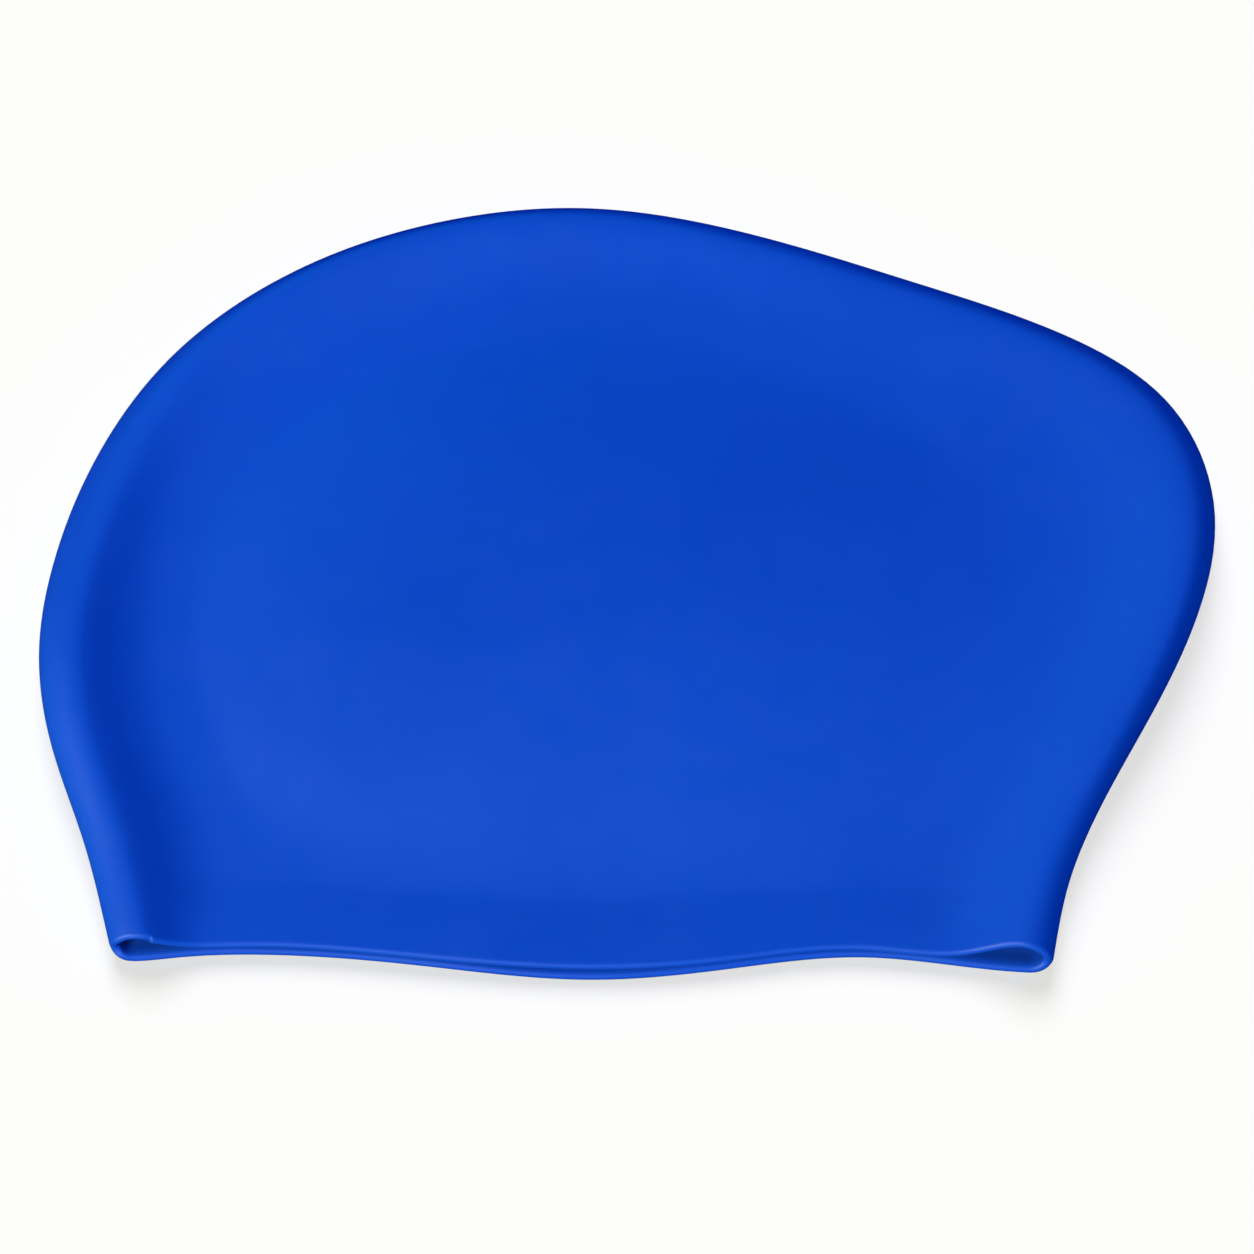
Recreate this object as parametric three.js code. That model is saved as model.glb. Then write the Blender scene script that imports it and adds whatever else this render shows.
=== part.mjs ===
// A long-hair swim cap, moulded in one piece of silicone rubber, lying flattened on its side on a table.
// Millimetres. X runs from the forehead edge to the nape, Y from the mouth to the crown, Z up from the table.
// The origin is under the middle of the cap's box. The lower sheet lies flat, the upper one rests over it as a
// low pillow, and the rubber turns from one to the other in a rounded fold that is too springy to crease.
import * as THREE from "three";

// The wall and the rim
const WALL = 1.0;
const RIM_BEAD = 2.1; // thickness of the bead along the rim
const BEAD_WIDTH = 3; // how far the bead thins out into the wall
const LIP_GAP = 0.4; // between the two lips in the middle of the mouth
const LIP_TOP = 2 * RIM_BEAD + LIP_GAP;
const LIP_WIDTH = 17; // the upper lip dips to the trough behind it over this length
const WAVE_FADE = 30; // the rim's waves die away into the sheets over this length
const SETBACK_FADE = 14; // and so does the way the upper lip draws back

// The upper sheet
const SHEET = 7.9; // height at the fold's foot
const MOUTH_TROUGH = 3.7; // height behind the lip, where the two sheets nearly touch
const TROUGH_BACK = 14; // back from the rim
const MOUTH_SLOPE = 60; // length of the slope from the mouth's trough up
const PILLOW = 5.7; // how far the middle stands above the fold's foot
const SWELL = 0.72; // below 1, a slope of the pillow is steepest near its foot
const FALL_SKEW = 1.85; // above 1, the fold's inner slope is steepest near its ridge

// The lower sheet
const UNDER_REACH = 5.5; // the fold meets the table this far in
const FOLD_MIDDLE = 0.42; // height of the fold's outermost line, as a share of its ridge

// The fold, from the forehead corner of the rim, over the crown, to the nape corner. The ridge is the fold's
// height, reach is how far in its ridge lies, fall is the length of the slope from there to the fold's foot, and
// rise the length of the pillow's slope from the foot up.
const FOLD = [
  { x: -112.8, y: -86.1, ridge: 9.8, reach: 7.0, fall: 20, rise: 38 },
  { x: -119.0, y: -60.9, ridge: 11.7, reach: 7.4, fall: 28, rise: 27 },
  { x: -126.3, y: -39.3, ridge: 13.6, reach: 7.8, fall: 28, rise: 22 },
  { x: -129.7, y: -17.8, ridge: 14.8, reach: 8.3, fall: 26, rise: 26 },
  { x: -127.2, y: 3.7, ridge: 14.0, reach: 9.1, fall: 22, rise: 25 },
  { x: -118.2, y: 30.0, ridge: 12.1, reach: 9.1, fall: 20, rise: 24 },
  { x: -102.2, y: 54.3, ridge: 11.4, reach: 7.3, fall: 22, rise: 26 },
  { x: -78.2, y: 72.9, ridge: 12.3, reach: 5.2, fall: 25, rise: 28 },
  { x: -42.3, y: 86.9, ridge: 12.0, reach: 4.6, fall: 25, rise: 35 },
  { x: -8.8, y: 90.6, ridge: 10.8, reach: 4.3, fall: 23, rise: 47 },
  { x: 26.7, y: 85.0, ridge: 9.5, reach: 5.0, fall: 23, rise: 61 },
  { x: 64.7, y: 72.8, ridge: 9.2, reach: 5.4, fall: 28, rise: 71 },
  { x: 96.8, y: 60.2, ridge: 10.1, reach: 5.6, fall: 34, rise: 79 },
  { x: 120.9, y: 42.5, ridge: 11.2, reach: 6.2, fall: 38, rise: 83 },
  { x: 130.0, y: 16.0, ridge: 13.5, reach: 6.4, fall: 40, rise: 84 },
  { x: 126.5, y: -5.2, ridge: 15.1, reach: 5.5, fall: 40, rise: 91 },
  { x: 116.0, y: -29.2, ridge: 14.3, reach: 5.0, fall: 37, rise: 84 },
  { x: 103.0, y: -53.4, ridge: 12.2, reach: 5.1, fall: 31, rise: 64 },
  { x: 95.8, y: -71.5, ridge: 11.3, reach: 5.6, fall: 28, rise: 58 },
  { x: 92.3, y: -89.0, ridge: 10.7, reach: 6.1, fall: 25, rise: 53 },
];

// The mouth, from the forehead corner to the nape corner. Wave is how far the lips lie behind the straight line
// between the corners, and setback how far the upper lip lies behind the lower one.
const MOUTH = [
  { across: 0.0, wave: 0.0, setback: 1.9 },
  { across: 0.03, wave: 0.1, setback: 1.6 },
  { across: 0.07, wave: 1.0, setback: 1.0 },
  { across: 0.16, wave: 1.95, setback: 0.8 },
  { across: 0.33, wave: -0.1, setback: 0.75 },
  { across: 0.51, wave: -2.8, setback: 1.5 },
  { across: 0.65, wave: -0.1, setback: 0.9 },
  { across: 0.8, wave: 3.2, setback: 0.7 },
  { across: 0.9, wave: 1.5, setback: 1.2 },
  { across: 0.955, wave: 0.4, setback: 2.8 },
  { across: 1.0, wave: 0.0, setback: 1.2 },
];

// The mesh
const COLUMNS = 56; // round each section, over the upper sheet and back along the lower one
const ROWS = 30; // from the rim to the crown
const EDGE_RINGS = 3; // over the rounded edge of the bead
const ROW_BEND = 1.5; // above 1, the rows stay straighter near the rim
const STEP = 1e-4; // share of the way, for slopes

// From 0 to 1, with samples close together at both ends
const cosineEase = (x) => (1 - Math.cos(Math.PI * x)) / 2;

// A slope from 0 to 1 that is level at both ends
function ease(x) {
  const t = THREE.MathUtils.clamp(x, 0, 1);
  return t * t * (3 - 2 * t);
}

// A slope from 0 to 1 that is steepest near its foot, as in blown-up rubber
const swell = (x) => ease(Math.pow(THREE.MathUtils.clamp(x, 0, 1), SWELL));

// A quarter of an ellipse: 0 at the fold's outermost line, and 1 from its reach inwards
function roundOver(inwards, reach) {
  const rest = 1 - Math.min(inwards, reach) / reach;
  return Math.sqrt(1 - rest * rest);
}

// A smooth curve through values at rising places: a natural cubic spline
function curveThrough(places, values) {
  const last = places.length - 1;
  const bend = new Array(places.length).fill(0);
  const carried = new Array(places.length).fill(0);
  for (let i = 1; i < last; i++) {
    const before = places[i] - places[i - 1];
    const after = places[i + 1] - places[i];
    const share = before / (before + after);
    const turn = (values[i + 1] - values[i]) / after - (values[i] - values[i - 1]) / before;
    const pivot = share * bend[i - 1] + 2;
    bend[i] = (share - 1) / pivot;
    carried[i] = ((6 * turn) / (before + after) - share * carried[i - 1]) / pivot;
  }
  for (let i = last - 1; i > 0; i--) bend[i] = bend[i] * bend[i + 1] + carried[i];
  return (place) => {
    let k = 0;
    while (k < last - 1 && places[k + 1] < place) k++;
    const span = places[k + 1] - places[k];
    const a = (places[k + 1] - place) / span;
    const b = 1 - a;
    const curved = (a * a * a - a) * bend[k] + (b * b * b - b) * bend[k + 1];
    return a * values[k] + b * values[k + 1] + (curved * span * span) / 6;
  };
}

// The fold's columns as curves over the share of its length
const foldPlaces = [0];
for (let i = 1; i < FOLD.length; i++) {
  const step = Math.hypot(FOLD[i].x - FOLD[i - 1].x, FOLD[i].y - FOLD[i - 1].y);
  foldPlaces.push(foldPlaces[i - 1] + step);
}
const foldLength = foldPlaces[FOLD.length - 1];
const foldCurves = {};
for (const column of ["x", "y", "ridge", "reach", "fall", "rise"]) {
  foldCurves[column] = curveThrough(foldPlaces, FOLD.map((station) => station[column]));
}
const foldAt = (share, column) => foldCurves[column](share * foldLength);

const mouthPlaces = MOUTH.map((station) => station.across);
const waveAt = curveThrough(mouthPlaces, MOUTH.map((station) => station.wave));
const setbackAt = curveThrough(mouthPlaces, MOUTH.map((station) => station.setback));

// A row is an arc over the flattened cap from the forehead side of the fold to the nape side. At the rim it is
// straight, and at the crown it is a small half circle, so that it leaves the fold at about a right angle.
function rowAt(share) {
  const forehead = new THREE.Vector2(foldAt(share / 2, "x"), foldAt(share / 2, "y"));
  const nape = new THREE.Vector2(foldAt(1 - share / 2, "x"), foldAt(1 - share / 2, "y"));
  const along = nape.clone().sub(forehead);
  const chord = along.length();
  along.normalize();
  const down = new THREE.Vector2(along.y, -along.x);
  const half = Math.max((Math.PI / 2) * Math.pow(share, ROW_BEND), STEP);
  const radius = chord / (2 * Math.sin(half));
  return { share, forehead, along, down, half, radius, length: 2 * radius * half };
}

function pointOnRow(row, across) {
  const angle = (2 * across - 1) * row.half;
  const sideways = row.radius * (Math.sin(angle) + Math.sin(row.half));
  const sag = row.radius * (Math.cos(angle) - Math.cos(row.half));
  return row.forehead.clone().addScaledVector(row.along, sideways).addScaledVector(row.down, sag);
}

const rimRow = rowAt(0);

// Height of the upper sheet away from the fold, at a distance from the fold's foot and back from the rim
function sheetHeight(fromFoot, rise, back) {
  const lip = (LIP_TOP - MOUTH_TROUGH) * Math.exp(-Math.pow(back / LIP_WIDTH, 2));
  const climb = swell((back - TROUGH_BACK) / MOUTH_SLOPE);
  const pillow = PILLOW * swell(fromFoot / rise);
  return MOUTH_TROUGH + lip + (SHEET - MOUTH_TROUGH + pillow) * climb;
}

// A value of the fold, blended between the forehead side and the nape side of a row
function foldValue(row, across, column) {
  const forehead = foldAt(row.share / 2, column);
  const nape = foldAt(1 - row.share / 2, column);
  return THREE.MathUtils.lerp(forehead, nape, ease(across));
}

// A point of the cap's outer face, with its distance back from the rim. Around runs from 0 to 1 over the upper
// sheet and from 1 to 2 back along the lower one, and share runs from 0 at the rim to 1 at the crown.
function outerPoint(around, share) {
  const row = rowAt(share);
  const across = cosineEase(around);
  const upper = Math.sin(Math.PI * around) >= 0;
  const inwards = (row.length / Math.PI) * Math.sin(Math.PI * across);
  const flat = pointOnRow(row, across);
  const back = flat.distanceTo(pointOnRow(rimRow, across));

  const ridge = foldValue(row, across, "ridge");
  const reach = foldValue(row, across, "reach");
  const fall = foldValue(row, across, "fall");
  const middle = FOLD_MIDDLE * ridge;
  const sheet = sheetHeight(inwards - reach - fall, foldValue(row, across, "rise"), back);
  const down = 1 - THREE.MathUtils.clamp((inwards - reach) / fall, 0, 1);
  const top = sheet + (ridge - sheet) * (1 - ease(1 - Math.pow(down, FALL_SKEW)));
  const side = upper ? roundOver(inwards, reach) : -roundOver(inwards, UNDER_REACH);
  const height = upper ? middle + (top - middle) * side : middle + middle * side;

  const wave = waveAt(across) * Math.exp(-back / WAVE_FADE);
  const setback = setbackAt(across) * ease(1 + side) * Math.exp(-back / SETBACK_FADE);
  return { point: new THREE.Vector3(flat.x, flat.y + wave + setback, height), back };
}

// The outer point with the wall's direction and thickness there, and the way out of the mouth along the wall
function wallAt(around, share) {
  const { point, back } = outerPoint(around, share);
  const lower = Math.max(share - STEP, 0);
  const sideways = outerPoint(around + STEP, share).point.sub(outerPoint(around - STEP, share).point);
  const upwards = outerPoint(around, share + STEP).point.sub(outerPoint(around, lower).point);
  const normal = sideways.cross(upwards).normalize();
  const outwards = upwards.negate().addScaledVector(normal, upwards.dot(normal)).normalize();
  const thickness = WALL + (RIM_BEAD - WALL) * Math.exp(-Math.pow(back / BEAD_WIDTH, 2));
  return { point, normal, outwards, thickness };
}

// A ring of the cap: turn is 0 on the outer face and pi on the inner one, and between them it goes round the
// bead's half circle.
function ringAt(share, turn) {
  const ring = [];
  for (let i = 0; i < COLUMNS; i++) {
    const wall = wallAt((2 * i) / COLUMNS, share);
    const radius = wall.thickness / 2;
    const bead = Math.sin(turn) * radius;
    const place = wall.point.clone().addScaledVector(wall.normal, (Math.cos(turn) - 1) * radius);
    ring.push(place.addScaledVector(wall.outwards, bead));
  }
  return ring;
}

// The two faces close in one point each at the crown, where the fold's outermost line runs over it
function crownPoint(depth) {
  const crown = new THREE.Vector3(foldAt(0.5, "x"), foldAt(0.5, "y"), FOLD_MIDDLE * foldAt(0.5, "ridge"));
  const ahead = new THREE.Vector3(foldAt(0.5 + STEP, "x"), foldAt(0.5 + STEP, "y"), crown.z);
  const along = ahead.sub(crown).normalize();
  return crown.addScaledVector(new THREE.Vector3(-along.y, along.x, 0), -depth);
}

// One skin, from the crown down the inner face, round the bead and up the outer face to the crown again
function capGeometry() {
  const rings = [];
  for (let j = ROWS - 1; j >= 0; j--) rings.push(ringAt(cosineEase(j / ROWS), Math.PI));
  for (let k = EDGE_RINGS; k >= 1; k--) rings.push(ringAt(0, (Math.PI * k) / (EDGE_RINGS + 1)));
  for (let j = 0; j < ROWS; j++) rings.push(ringAt(cosineEase(j / ROWS), 0));

  const points = [crownPoint(WALL), ...rings.flat(), crownPoint(0)];
  const faces = [];
  const index = (ring, column) => 1 + ring * COLUMNS + (column % COLUMNS);
  for (let i = 0; i < COLUMNS; i++) {
    faces.push(0, index(0, i + 1), index(0, i));
    for (let r = 0; r < rings.length - 1; r++) {
      faces.push(index(r, i), index(r, i + 1), index(r + 1, i + 1));
      faces.push(index(r, i), index(r + 1, i + 1), index(r + 1, i));
    }
    faces.push(index(rings.length - 1, i), index(rings.length - 1, i + 1), points.length - 1);
  }
  const geometry = new THREE.BufferGeometry().setFromPoints(points);
  geometry.setIndex(faces);
  geometry.computeVertexNormals();
  return geometry;
}

const silicone = new THREE.MeshStandardMaterial({ color: 0x164ac4, roughness: 0.5, metalness: 0 });

const cap = new THREE.Mesh(capGeometry(), silicone);
cap.name = "cap_shell";

const swimCap = new THREE.Group();
swimCap.add(cap);

export default swimCap;
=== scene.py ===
"""A long-hair swim cap of blue silicone rubber, lying flattened on its side on a pale table.

The cap is modelled here as one fine skin in the same form as its solid: a fold all round that is too
springy to crease, a low pillow inside it, and a beaded rim whose lips part in a loop at both corners.
Shapes are worked out in millimetres, with X from the forehead to the nape, Y from the mouth to the crown
and Z up, and go to Blender in metres.
"""
import math

import bpy
import numpy as np
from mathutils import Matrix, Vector


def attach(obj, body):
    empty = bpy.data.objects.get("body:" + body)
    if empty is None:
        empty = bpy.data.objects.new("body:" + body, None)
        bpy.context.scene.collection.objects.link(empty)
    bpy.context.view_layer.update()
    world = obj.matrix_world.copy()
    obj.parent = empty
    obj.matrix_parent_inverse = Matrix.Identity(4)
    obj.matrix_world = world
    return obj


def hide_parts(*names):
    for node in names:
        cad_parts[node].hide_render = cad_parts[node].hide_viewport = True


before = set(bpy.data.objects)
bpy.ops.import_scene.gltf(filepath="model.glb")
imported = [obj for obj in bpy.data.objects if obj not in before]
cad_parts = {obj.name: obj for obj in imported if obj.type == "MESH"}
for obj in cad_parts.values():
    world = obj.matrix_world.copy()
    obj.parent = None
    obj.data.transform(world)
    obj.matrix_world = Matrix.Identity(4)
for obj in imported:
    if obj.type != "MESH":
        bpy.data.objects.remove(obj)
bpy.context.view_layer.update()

MM = 0.001

# The wall and the rim
WALL = 1.0
RIM_BEAD = 2.1  # thickness of the bead along the rim
BEAD_WIDTH = 3  # how far the bead thins out into the wall
LIP_GAP = 0.4  # between the two lips in the middle of the mouth
LIP_TOP = 2 * RIM_BEAD + LIP_GAP
LIP_WIDTH = 17  # the upper lip dips to the trough behind it over this length
WAVE_FADE = 30  # the rim's waves die away into the sheets over this length
SETBACK_FADE = 14  # and so does the way the upper lip draws back

# The upper sheet
SHEET = 7.9  # height at the fold's foot
MOUTH_TROUGH = 3.7  # height behind the lip, where the two sheets nearly touch
TROUGH_BACK = 14  # back from the rim
MOUTH_SLOPE = 60  # length of the slope from the mouth's trough up
PILLOW = 5.7  # how far the middle stands above the fold's foot
SWELL = 0.72  # below 1, a slope of the pillow is steepest near its foot
FALL_SKEW = 1.85  # above 1, the fold's inner slope is steepest near its ridge

# The lower sheet
UNDER_REACH = 5.5  # the fold meets the table this far in
FOLD_MIDDLE = 0.42  # height of the fold's outermost line, as a share of its ridge

# The fold from the forehead corner of the rim, over the crown, to the nape corner: its place, its height,
# how far in its ridge lies, and the lengths of the slope from there to its foot and of the pillow's slope
# from the foot up
FOLD = [
    # x, y, ridge, reach, fall, rise
    (-112.8, -86.1, 9.8, 7.0, 20, 38),
    (-119.0, -60.9, 11.7, 7.4, 28, 27),
    (-126.3, -39.3, 13.6, 7.8, 28, 22),
    (-129.7, -17.8, 14.8, 8.3, 26, 26),
    (-127.2, 3.7, 14.0, 9.1, 22, 25),
    (-118.2, 30.0, 12.1, 9.1, 20, 24),
    (-102.2, 54.3, 11.4, 7.3, 22, 26),
    (-78.2, 72.9, 12.3, 5.2, 25, 28),
    (-42.3, 86.9, 12.0, 4.6, 25, 35),
    (-8.8, 90.6, 10.8, 4.3, 23, 47),
    (26.7, 85.0, 9.5, 5.0, 23, 61),
    (64.7, 72.8, 9.2, 5.4, 28, 71),
    (96.8, 60.2, 10.1, 5.6, 34, 79),
    (120.9, 42.5, 11.2, 6.2, 38, 83),
    (130.0, 16.0, 13.5, 6.4, 40, 84),
    (126.5, -5.2, 15.1, 5.5, 40, 91),
    (116.0, -29.2, 14.3, 5.0, 37, 84),
    (103.0, -53.4, 12.2, 5.1, 31, 64),
    (95.8, -71.5, 11.3, 5.6, 28, 58),
    (92.3, -89.0, 10.7, 6.1, 25, 53),
]

# The mouth from corner to corner: how far the lips lie behind the straight line between the corners, and
# how far the upper lip lies behind the lower one
MOUTH = [
    # across, wave, setback
    (0.0, 0.0, 1.9),
    (0.03, 0.1, 1.6),
    (0.07, 1.0, 1.0),
    (0.16, 1.95, 0.8),
    (0.33, -0.1, 0.75),
    (0.51, -2.8, 1.5),
    (0.65, -0.1, 0.9),
    (0.8, 3.2, 0.7),
    (0.9, 1.5, 1.2),
    (0.955, 0.4, 2.8),
    (1.0, 0.0, 1.2),
]

# The small nick in the upper lip beside the forehead loop
NICK_PLACE = 0.046  # share of the way across the mouth
NICK_WIDTH = 0.0012  # in the same measure
NICK_DEPTH = 0.6
NICK_FADE = 1.6  # it dies away into the sheet over this length
NICK_COLUMNS = 14  # columns of the mesh drawn together round it

# The mesh
COLUMNS = 232  # round each section, over the upper sheet and back along the lower one
ROWS = 140  # from the rim to the crown
EDGE_RINGS = 7  # over the rounded edge of the bead
ROW_BEND = 1.5  # above 1, the rows stay straighter near the rim
STEP = 1e-4  # share of the way, for slopes

# The floor and the camera, in metres
FLOOR_HALF = 20.0
FLOOR_DROP = 0.0001  # below the cap, so that the two don't share a plane
CAMERA_ELEVATION = math.radians(68)
CAMERA_DISTANCE = 1.8
CAMERA_TARGET = Vector((-0.0003, -0.0084, 0.0))
PHOTO_PIXELS = 1254
CAP_PIXELS = 1175.5  # width of the cap in the photo
CAP_WIDTH = 0.26
SENSOR_WIDTH = 36

# Light colours
WARM = (1.0, 1.0, 0.74)
DEEP_BLUE = (0.0, 0.46, 1.0)
SKY_BLUE = (0.0, 0.66, 1.0)
PALE_BLUE = (0.2, 0.6, 0.9)
NEAR_WHITE = (1.0, 0.995, 0.92)
COOL_WHITE = (1.0, 1.015, 1.16)


def cosine_ease(x):
    """From 0 to 1, with samples close together at both ends."""
    return (1 - np.cos(np.pi * x)) / 2


def ease(x):
    """A slope from 0 to 1 that is level at both ends."""
    t = np.clip(x, 0, 1)
    return t * t * (3 - 2 * t)


def swell(x):
    """A slope from 0 to 1 that is steepest near its foot, as in blown-up rubber."""
    return ease(np.clip(x, 0, 1) ** SWELL)


def round_over(inwards, reach):
    """A quarter of an ellipse: 0 at the fold's outermost line, and 1 from its reach inwards."""
    rest = 1 - np.minimum(inwards, reach) / reach
    return np.sqrt(np.maximum(1 - rest * rest, 0))


def curve_through(places, values):
    """A smooth curve through values at rising places: a natural cubic spline."""
    places, values = np.asarray(places, float), np.asarray(values, float)
    spans = np.diff(places)
    count = len(places)
    system = np.eye(count)
    turns = np.zeros(count)
    for i in range(1, count - 1):
        system[i, i - 1:i + 2] = spans[i - 1], 2 * (spans[i - 1] + spans[i]), spans[i]
        turns[i] = 6 * ((values[i + 1] - values[i]) / spans[i] - (values[i] - values[i - 1]) / spans[i - 1])
    bend = np.linalg.solve(system, turns)

    def at(place):
        k = np.clip(np.searchsorted(places, place, side="right") - 1, 0, count - 2)
        a = (places[k + 1] - place) / spans[k]
        b = 1 - a
        curved = (a ** 3 - a) * bend[k] + (b ** 3 - b) * bend[k + 1]
        return a * values[k] + b * values[k + 1] + curved * spans[k] ** 2 / 6

    return at


fold = np.array(FOLD)
fold_places = np.concatenate([[0], np.cumsum(np.hypot(*np.diff(fold[:, :2], axis=0).T))])
fold_columns = ("x", "y", "ridge", "reach", "fall", "rise")
fold_curves = {name: curve_through(fold_places, fold[:, i]) for i, name in enumerate(fold_columns)}
mouth = np.array(MOUTH)
wave_at = curve_through(mouth[:, 0], mouth[:, 1])
setback_at = curve_through(mouth[:, 0], mouth[:, 2])


def fold_at(share, column):
    """A column of the fold's table at a share of its length from the forehead corner."""
    return fold_curves[column](share * fold_places[-1])


def point_on_row(share, across):
    """X, Y and length of a row's arc over the cap: straight at the rim, a half circle at the crown."""
    start_x, start_y = fold_at(share / 2, "x"), fold_at(share / 2, "y")
    along_x = fold_at(1 - share / 2, "x") - start_x
    along_y = fold_at(1 - share / 2, "y") - start_y
    chord = np.hypot(along_x, along_y)
    along_x, along_y = along_x / chord, along_y / chord
    half = np.maximum(np.pi / 2 * share ** ROW_BEND, STEP)
    radius = chord / (2 * np.sin(half))
    angle = (2 * across - 1) * half
    sideways = radius * (np.sin(angle) + np.sin(half))
    sag = radius * (np.cos(angle) - np.cos(half))
    x = start_x + sideways * along_x + sag * along_y
    y = start_y + sideways * along_y - sag * along_x
    return x, y, 2 * radius * half


def outer_point(around, share):
    """Points of the outer face, and their distance back from the rim.

    Around runs from 0 to 1 over the upper sheet and from 1 to 2 back along the lower one, and share from
    0 at the rim to 1 at the crown.
    """
    across = cosine_ease(around)
    upper = np.sin(np.pi * around) >= 0
    x, y, length = point_on_row(share, across)
    rim_x, rim_y, _ = point_on_row(np.zeros_like(share), across)
    inwards = length / np.pi * np.sin(np.pi * across)
    back = np.hypot(x - rim_x, y - rim_y)

    def fold_value(column):
        forehead, nape = fold_at(share / 2, column), fold_at(1 - share / 2, column)
        return forehead + (nape - forehead) * ease(across)

    ridge, reach, fall = fold_value("ridge"), fold_value("reach"), fold_value("fall")
    middle = FOLD_MIDDLE * ridge
    climb = swell((back - TROUGH_BACK) / MOUTH_SLOPE)
    lip = (LIP_TOP - MOUTH_TROUGH) * np.exp(-(back / LIP_WIDTH) ** 2)
    pillow = PILLOW * swell((inwards - reach - fall) / fold_value("rise"))
    sheet = MOUTH_TROUGH + lip + (SHEET - MOUTH_TROUGH + pillow) * climb
    down = 1 - np.clip((inwards - reach) / fall, 0, 1)
    top = sheet + (ridge - sheet) * (1 - ease(1 - down ** FALL_SKEW))
    side = np.where(upper, round_over(inwards, reach), -round_over(inwards, UNDER_REACH))
    height = np.where(upper, middle + (top - middle) * side, middle + middle * side)

    nick_step = (1 + np.tanh((NICK_PLACE - across) / NICK_WIDTH)) / 2
    nick = NICK_DEPTH * nick_step * np.exp(-(back / NICK_FADE) ** 2)
    setback = setback_at(across) * ease(1 + side) * np.exp(-back / SETBACK_FADE)
    setback = setback + np.where(upper, nick * ease(side * 2 - 1), 0)
    wave = wave_at(across) * np.exp(-back / WAVE_FADE)
    return np.stack([x, y + wave + setback, height], axis=-1), back


def unit(vectors):
    """The vectors at length 1."""
    return vectors / np.linalg.norm(vectors, axis=-1, keepdims=True)


def cap_rings():
    """The rings of the skin, from the crown down the inner face, round the bead and up the outer face."""
    even = np.linspace(0, 2, COLUMNS, endpoint=False)
    nick_around = math.acos(1 - 2 * NICK_PLACE) / math.pi
    nick_reach = 3 * NICK_WIDTH / math.sqrt(NICK_PLACE) / math.pi * 2
    close = np.linspace(nick_around - nick_reach, nick_around + nick_reach, NICK_COLUMNS)
    around = np.union1d(even, close)
    share = cosine_ease(np.arange(ROWS) / ROWS)
    around, share = np.meshgrid(around, share)

    points, back = outer_point(around, share)
    sideways = outer_point(around + STEP, share)[0] - outer_point(around - STEP, share)[0]
    upwards = outer_point(around, share + STEP)[0] - outer_point(around, np.maximum(share - STEP, 0))[0]
    normal = unit(np.cross(sideways, upwards))
    outwards = -upwards + normal * np.sum(upwards * normal, axis=-1, keepdims=True)
    outwards = unit(outwards)
    thickness = (WALL + (RIM_BEAD - WALL) * np.exp(-(back / BEAD_WIDTH) ** 2))[..., None]

    inner = points - normal * thickness
    rings = list(inner[::-1])
    radius = thickness[0] / 2
    for k in range(EDGE_RINGS, 0, -1):
        turn = math.pi * k / (EDGE_RINGS + 1)
        inwards = (math.cos(turn) - 1) * radius * normal[0]
        rings.append(points[0] + inwards + math.sin(turn) * radius * outwards[0])
    rings.extend(points)
    return rings


def crown_point(depth):
    """Where a face of the skin closes at the crown, depth inside the fold's outermost line."""
    here = np.array([fold_at(0.5, "x"), fold_at(0.5, "y")])
    ahead = np.array([fold_at(0.5 + STEP, "x"), fold_at(0.5 + STEP, "y")])
    along = unit(ahead - here)
    x, y = here - depth * np.array([-along[1], along[0]])
    return np.array([x, y, FOLD_MIDDLE * fold_at(0.5, "ridge")])


def make_cap():
    """The cap as one closed skin, from the crown's point inside to the crown's point outside."""
    rings = cap_rings()
    count = len(rings[0])
    points = np.vstack([crown_point(WALL)[None], *rings, crown_point(0)[None]])
    last = len(points) - 1

    def index(ring, column):
        return 1 + ring * count + column % count

    faces = []
    for i in range(count):
        faces.append((0, index(0, i + 1), index(0, i)))
        faces.append((index(len(rings) - 1, i), index(len(rings) - 1, i + 1), last))
        for r in range(len(rings) - 1):
            faces.append((index(r, i), index(r, i + 1), index(r + 1, i + 1), index(r + 1, i)))
    mesh = bpy.data.meshes.new("cap")
    mesh.from_pydata((points * MM).tolist(), [], faces)
    mesh.validate()
    mesh.shade_smooth()
    cap = bpy.data.objects.new("cap", mesh)
    bpy.context.collection.objects.link(cap)
    return cap


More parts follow.
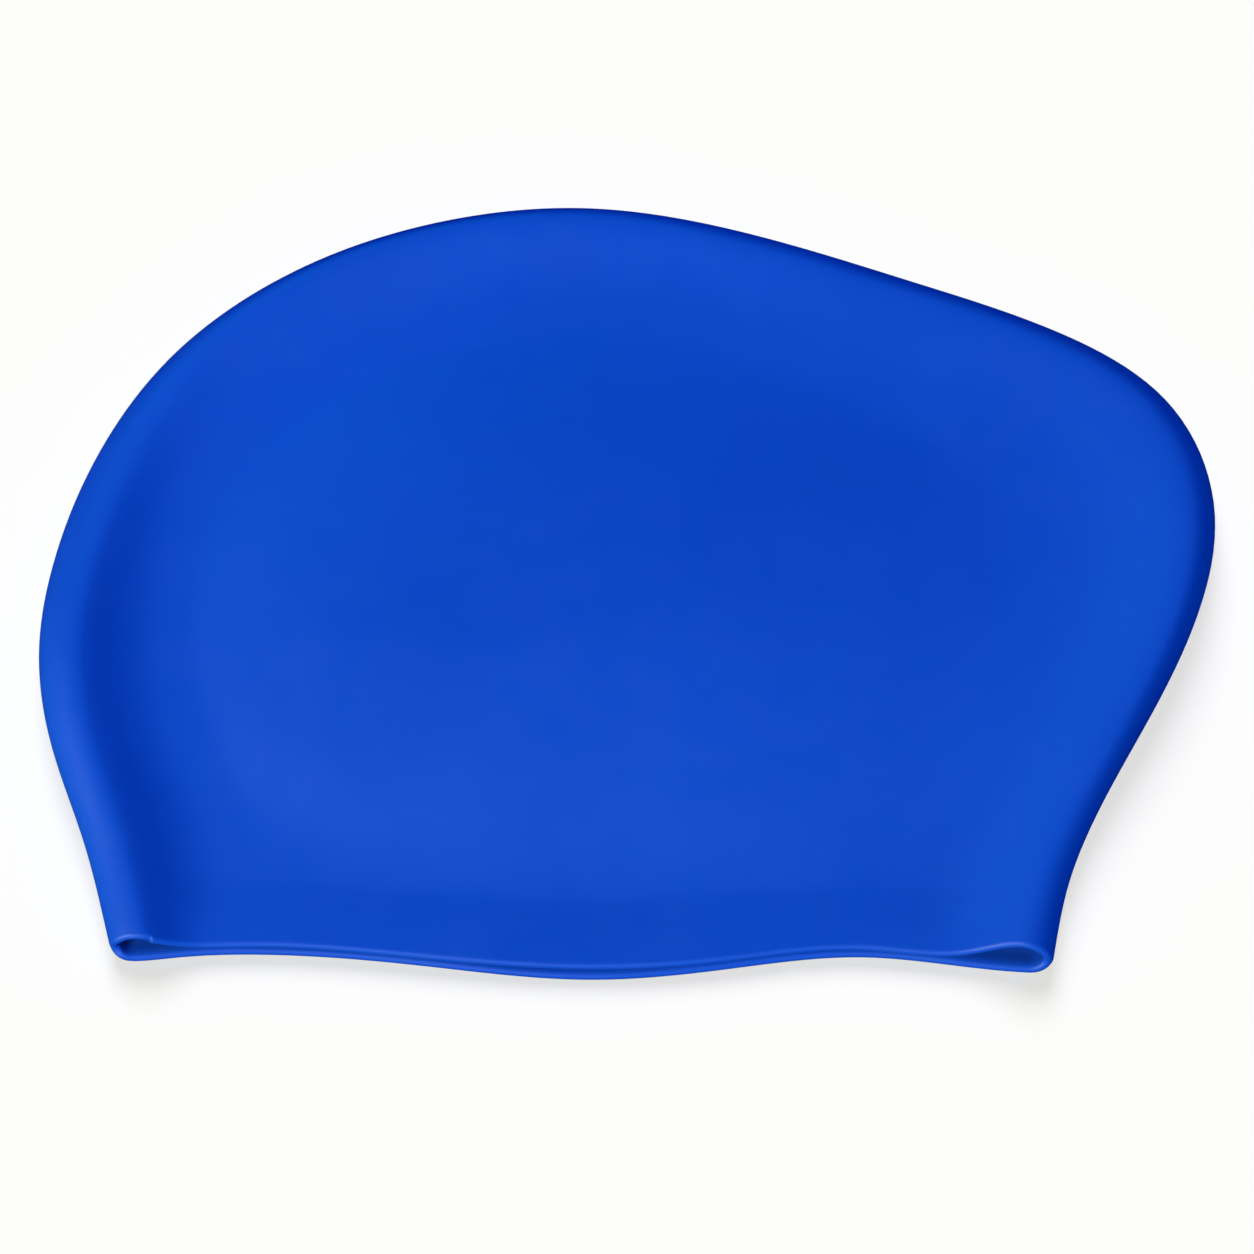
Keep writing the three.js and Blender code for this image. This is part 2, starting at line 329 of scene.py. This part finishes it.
def silicone():
    """Satin moulded silicone: an even blue with a very fine grain and the faintest mottling."""
    material = bpy.data.materials.new("silicone")
    material.use_nodes = True
    nodes, links = material.node_tree.nodes, material.node_tree.links
    shader = nodes["Principled BSDF"]
    shader.inputs["IOR"].default_value = 1.41
    shader.inputs["Specular IOR Level"].default_value = 0.4
    shader.inputs["Specular Tint"].default_value = (0.6, 0.68, 1.0, 1)
    shader.inputs["Subsurface Weight"].default_value = 0.08
    shader.inputs["Subsurface Scale"].default_value = 0.002
    shader.inputs["Subsurface Radius"].default_value = (0.05, 0.25, 1.0)

    place = nodes.new("ShaderNodeTexCoord")

    mottle = nodes.new("ShaderNodeTexNoise")
    mottle.inputs["Scale"].default_value = 16
    mottle.inputs["Detail"].default_value = 4
    links.new(place.outputs["Object"], mottle.inputs["Vector"])
    blue = nodes.new("ShaderNodeValToRGB")
    blue.color_ramp.elements[0].position = 0.3
    blue.color_ramp.elements[0].color = (0.0026, 0.048, 0.44, 1)
    blue.color_ramp.elements[1].position = 0.7
    blue.color_ramp.elements[1].color = (0.0034, 0.054, 0.47, 1)
    links.new(mottle.outputs["Fac"], blue.inputs["Fac"])
    links.new(blue.outputs["Color"], shader.inputs["Base Color"])

    dust = nodes.new("ShaderNodeTexNoise")
    dust.inputs["Scale"].default_value = 90
    dust.inputs["Detail"].default_value = 5
    links.new(place.outputs["Object"], dust.inputs["Vector"])
    rough = nodes.new("ShaderNodeMapRange")
    rough.inputs["From Min"].default_value = 0.35
    rough.inputs["From Max"].default_value = 0.65
    rough.inputs["To Min"].default_value = 0.46
    rough.inputs["To Max"].default_value = 0.54
    links.new(dust.outputs["Fac"], rough.inputs["Value"])
    links.new(rough.outputs["Result"], shader.inputs["Roughness"])

    grain = nodes.new("ShaderNodeTexNoise")
    grain.inputs["Scale"].default_value = 1800
    grain.inputs["Detail"].default_value = 2
    links.new(place.outputs["Object"], grain.inputs["Vector"])
    bump = nodes.new("ShaderNodeBump")
    bump.inputs["Strength"].default_value = 0.06
    bump.inputs["Distance"].default_value = 0.0001
    links.new(grain.outputs["Fac"], bump.inputs["Height"])
    links.new(bump.outputs["Normal"], shader.inputs["Normal"])
    return material


def make_floor():
    """A plain pale floor, which throws no light back at the cap, so that its edges stay deep blue."""
    mesh = bpy.data.meshes.new("floor")
    corners = [(-FLOOR_HALF, -FLOOR_HALF, 0), (FLOOR_HALF, -FLOOR_HALF, 0)]
    corners += [(FLOOR_HALF, FLOOR_HALF, 0), (-FLOOR_HALF, FLOOR_HALF, 0)]
    mesh.from_pydata(corners, [], [(0, 1, 2, 3)])
    floor = bpy.data.objects.new("floor", mesh)
    floor.location.z = -FLOOR_DROP
    bpy.context.collection.objects.link(floor)
    material = bpy.data.materials.new("floor")
    material.use_nodes = True
    shader = material.node_tree.nodes["Principled BSDF"]
    shader.inputs["Base Color"].default_value = (0.9, 0.9, 0.9, 1)
    shader.inputs["Roughness"].default_value = 0.9
    shader.inputs["Specular IOR Level"].default_value = 0.1
    mesh.materials.append(material)
    floor.visible_glossy = False
    floor.visible_diffuse = False
    return floor


def around_cap(azimuth, elevation, distance):
    """A place round the cap: azimuth from +X towards +Y and elevation above the table, in degrees."""
    turn = math.radians(azimuth)
    rise = math.radians(elevation)
    level = distance * math.cos(rise)
    return Vector((level * math.cos(turn), level * math.sin(turn), distance * math.sin(rise)))


def only(thing):
    """A collection of that one thing, for a lamp that lights nothing else."""
    group = bpy.data.collections.new(thing.name + "_lit")
    group.objects.link(thing)
    return group


def add_lamp(name, kind, place, power, color, lit):
    """A lamp turned to the cap, which lights only the one thing."""
    lamp = bpy.data.lights.new(name, kind)
    lamp.energy = power
    lamp.color = color
    holder = bpy.data.objects.new(name, lamp)
    holder.location = place
    holder.rotation_euler = (-place).to_track_quat("-Z", "Y").to_euler()
    holder.light_linking.receiver_collection = only(lit)
    bpy.context.collection.objects.link(holder)
    return holder


def add_softbox(name, azimuth, elevation, distance, size, power, color):
    """A square area lamp on the cap, with its distance and size in metres and its power in watts."""
    holder = add_lamp(name, "AREA", around_cap(azimuth, elevation, distance), power, color, cap)
    holder.data.size = size
    return holder


def add_sky(name, azimuth, elevation, spread, power, color):
    """A far lamp on the floor, whose light is as strong everywhere and spread over that many degrees."""
    holder = add_lamp(name, "SUN", around_cap(azimuth, elevation, 1), power, color, floor)
    holder.data.angle = math.radians(spread)


def add_backdrop(strength):
    """A pale backdrop past the floor's edge, which is only seen and lights nothing."""
    world = bpy.data.worlds.new("studio")
    bpy.context.scene.world = world
    world.use_nodes = True
    background = world.node_tree.nodes["Background"]
    background.inputs["Color"].default_value = (1, 1, 1, 1)
    background.inputs["Strength"].default_value = strength
    world.cycles_visibility.diffuse = False
    world.cycles_visibility.glossy = False


def add_camera():
    """The photo's view: square on to the mouth and steeply down, with the cap as wide in the picture."""
    camera = bpy.data.cameras.new("camera")
    camera.sensor_width = SENSOR_WIDTH
    half_width = CAP_WIDTH / CAP_PIXELS * PHOTO_PIXELS / 2
    camera.lens = SENSOR_WIDTH / 2 * CAMERA_DISTANCE / half_width
    camera.clip_start = 0.05
    holder = bpy.data.objects.new("camera", camera)
    towards = Vector((0, math.cos(CAMERA_ELEVATION), -math.sin(CAMERA_ELEVATION)))
    holder.location = CAMERA_TARGET - CAMERA_DISTANCE * towards
    holder.rotation_euler = towards.to_track_quat("-Z", "Y").to_euler()
    bpy.context.collection.objects.link(holder)
    bpy.context.scene.camera = holder


scene = bpy.context.scene
scene.view_settings.view_transform = "Standard"
scene.view_settings.look = "None"

add_camera()
cap = make_cap()
cap.data.materials.append(silicone())
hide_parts("cap_shell")
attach(cap, "root")
floor = make_floor()
add_backdrop(0.95)

# A warm-white key from the front left models the fold and the pillow, and cool fill keeps the shades blue
add_softbox("key", azimuth=226, elevation=28, distance=3, size=1.5, power=176, color=WARM)
add_softbox("cool_back", azimuth=110, elevation=30, distance=0.8, size=0.55, power=4.2, color=DEEP_BLUE)
cool_right = add_softbox(
    "cool_right", azimuth=350, elevation=25, distance=3, size=1.5, power=58, color=SKY_BLUE
)
cool_right.visible_glossy = False
add_softbox("mouth_fill", azimuth=275, elevation=28, distance=2, size=1.0, power=7, color=PALE_BLUE)

# A lamp at the camera's own angle whitens the floor, and one behind throws the soft shadow to the front
add_sky("overhead", azimuth=270, elevation=68, spread=8, power=2.7, color=NEAR_WHITE)
add_sky("behind", azimuth=98, elevation=45, spread=34, power=1.3, color=COOL_WHITE)
